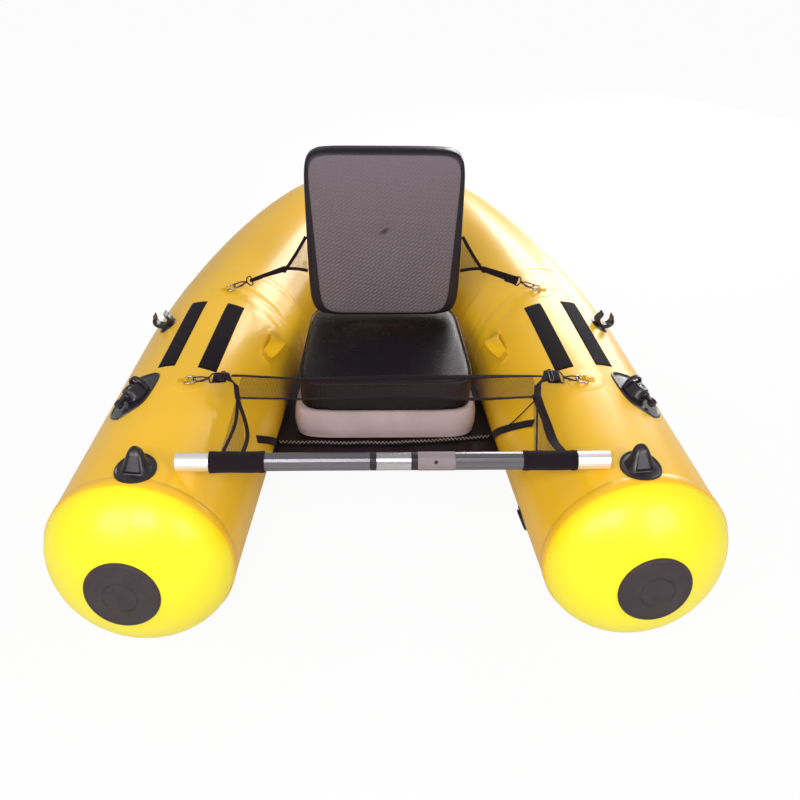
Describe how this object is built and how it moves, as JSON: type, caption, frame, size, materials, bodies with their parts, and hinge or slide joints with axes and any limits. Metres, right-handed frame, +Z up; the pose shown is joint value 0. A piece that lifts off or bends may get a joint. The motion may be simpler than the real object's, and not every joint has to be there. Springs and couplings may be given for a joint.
{
  "type": "belly boat",
  "caption": "U-shaped inflatable float tube for one angler, with round end discs, a raised padded seat with a folding backrest, a mesh apron and a take-apart bar across the front.",
  "frame": {"origin": "on the ground under the middle of the boat's overall box", "axes": "+X to the right of someone who looks at the open front, -Y out of the open end of the U, +Z up"},
  "size_m": [1.23, 1.7156, 0.6485],
  "materials": {
    "pvc_yellow": "glossy coated fabric",
    "cap_yellow": "glossy coated fabric",
    "rubber_black": "satin",
    "plastic_black": "satin",
    "plastic_grey": "matte",
    "webbing_black": "woven",
    "mesh_black": "open mesh",
    "vinyl_black": "embossed vinyl over foam",
    "vinyl_grey": "embossed vinyl over foam",
    "seat_grey": "coated fabric over an air pad",
    "steel": "polished wire",
    "bar_silver": "satin"
  },
  "bodies": {
    "hull": {"end_cap_left": "cap_yellow", "end_cap_right": "cap_yellow", "end_disc_left": "rubber_black", "end_disc_right": "rubber_black", "leg_tube_left": "pvc_yellow", "leg_tube_right": "pvc_yellow", "stern_tube": "pvc_yellow", "chamber_baffle": "pvc_yellow", "rope_holder_left": "rubber_black", "rope_holder_right": "rubber_black", "oarlock_base_left": "rubber_black", "oarlock_base_right": "rubber_black", "oar_clip_left": "plastic_black", "oar_clip_right": "plastic_black", "hook_strip_inner_left": "webbing_black", "hook_strip_inner_right": "webbing_black", "hook_strip_outer_left": "webbing_black", "hook_strip_outer_right": "webbing_black", "grab_loop_left": "pvc_yellow", "grab_loop_right": "pvc_yellow", "valve_body_left": "plastic_black", "valve_body_right": "plastic_black", "d_ring_patch_front_left": "pvc_yellow", "d_ring_patch_front_right": "pvc_yellow", "d_ring_patch_rear_left": "pvc_yellow", "d_ring_patch_rear_right": "pvc_yellow", "apron_hook_left": "plastic_black", "apron_hook_right": "plastic_black", "apron_side_strap_left": "webbing_black", "apron_side_strap_right": "webbing_black", "apron_rear_webbing": "webbing_black", "apron_front_webbing": "webbing_black", "apron_mesh": "mesh_black", "stay_hook_left": "steel", "stay_hook_right": "steel", "backrest_stay_left": "webbing_black", "backrest_stay_right": "webbing_black", "stay_mesh_left": "mesh_black", "stay_mesh_right": "mesh_black", "bar_left_tube": "bar_silver", "bar_right_tube": "bar_silver", "bar_coupler": "plastic_black", "bar_middle_sleeve": "bar_silver", "bar_collar": "plastic_grey", "bar_sleeve_left": "webbing_black", "bar_sleeve_right": "webbing_black", "floor_sheet": "vinyl_black", "floor_tape": "webbing_black", "seat_box": "seat_grey", "seat_cushion": "vinyl_black"},
    "backrest_pad": {"backrest": "vinyl_grey"},
    "knob_left": {"oarlock_knob_left": "plastic_black"},
    "knob_right": {"oarlock_knob_right": "plastic_black"},
    "cap_left": {"valve_cap_left": "plastic_black"},
    "cap_right": {"valve_cap_right": "plastic_black"},
    "button": {"bar_button": "plastic_black"},
    "ring_front_left": {"d_ring_front_left": "steel"},
    "ring_front_right": {"d_ring_front_right": "steel"},
    "ring_rear_left": {"d_ring_rear_left": "steel"},
    "ring_rear_right": {"d_ring_rear_right": "steel"}
  },
  "joints": [
    {"name": "backrest_fold", "type": "hinge", "parent": "hull", "child": "backrest_pad", "pos_m": [0, -0.0547, 0.26969], "axis": [1, 0, 0], "range_deg": [0, 80], "deforming": ["backrest_stay_left", "backrest_stay_right", "stay_mesh_left", "stay_mesh_right"]},
    {"name": "oarlock_knob_turn_left", "type": "hinge", "parent": "hull", "child": "knob_left", "pos_m": [-0.50283, -0.47079, 0.33168], "axis": [-0.4594, -0.8715, -0.1719], "continuous": true},
    {"name": "oarlock_knob_turn_right", "type": "hinge", "parent": "hull", "child": "knob_right", "pos_m": [0.50283, -0.47079, 0.33168], "axis": [0.4594, -0.8715, -0.1719], "continuous": true},
    {"name": "valve_cap_turn_left", "type": "hinge", "parent": "hull", "child": "cap_left", "pos_m": [-0.54185, -0.0644, 0.192], "axis": [-0.9812, 0.1424, 0.1305], "range_deg": [0, 90]},
    {"name": "valve_cap_turn_right", "type": "hinge", "parent": "hull", "child": "cap_right", "pos_m": [0.27172, -0.57147, 0.1055], "axis": [-0.9191, -0.0937, -0.3827], "range_deg": [0, 90]},
    {"name": "bar_button_press", "type": "slide", "parent": "hull", "child": "button", "axis": [0, 0.866, -0.5], "range_m": [0, 0.003], "stiffness_N_per_m": 400, "springref_m": -0.002},
    {"name": "d_ring_swing_front_left", "type": "hinge", "parent": "hull", "child": "ring_front_left", "pos_m": [-0.39515, -0.4252, 0.34232], "axis": [0, 1, 0], "range_deg": [-4, 4]},
    {"name": "d_ring_swing_front_right", "type": "hinge", "parent": "hull", "child": "ring_front_right", "pos_m": [0.39515, -0.4252, 0.34232], "axis": [0, 1, 0], "range_deg": [-4, 4]},
    {"name": "d_ring_swing_rear_left", "type": "hinge", "parent": "hull", "child": "ring_rear_left", "pos_m": [-0.35879, -0.04275, 0.34331], "axis": [-0.235, 0.972, 0], "range_deg": [-4, 4]},
    {"name": "d_ring_swing_rear_right", "type": "hinge", "parent": "hull", "child": "ring_rear_right", "pos_m": [0.35879, -0.04275, 0.34331], "axis": [0.235, 0.972, 0], "range_deg": [-4, 4]}
  ]
}
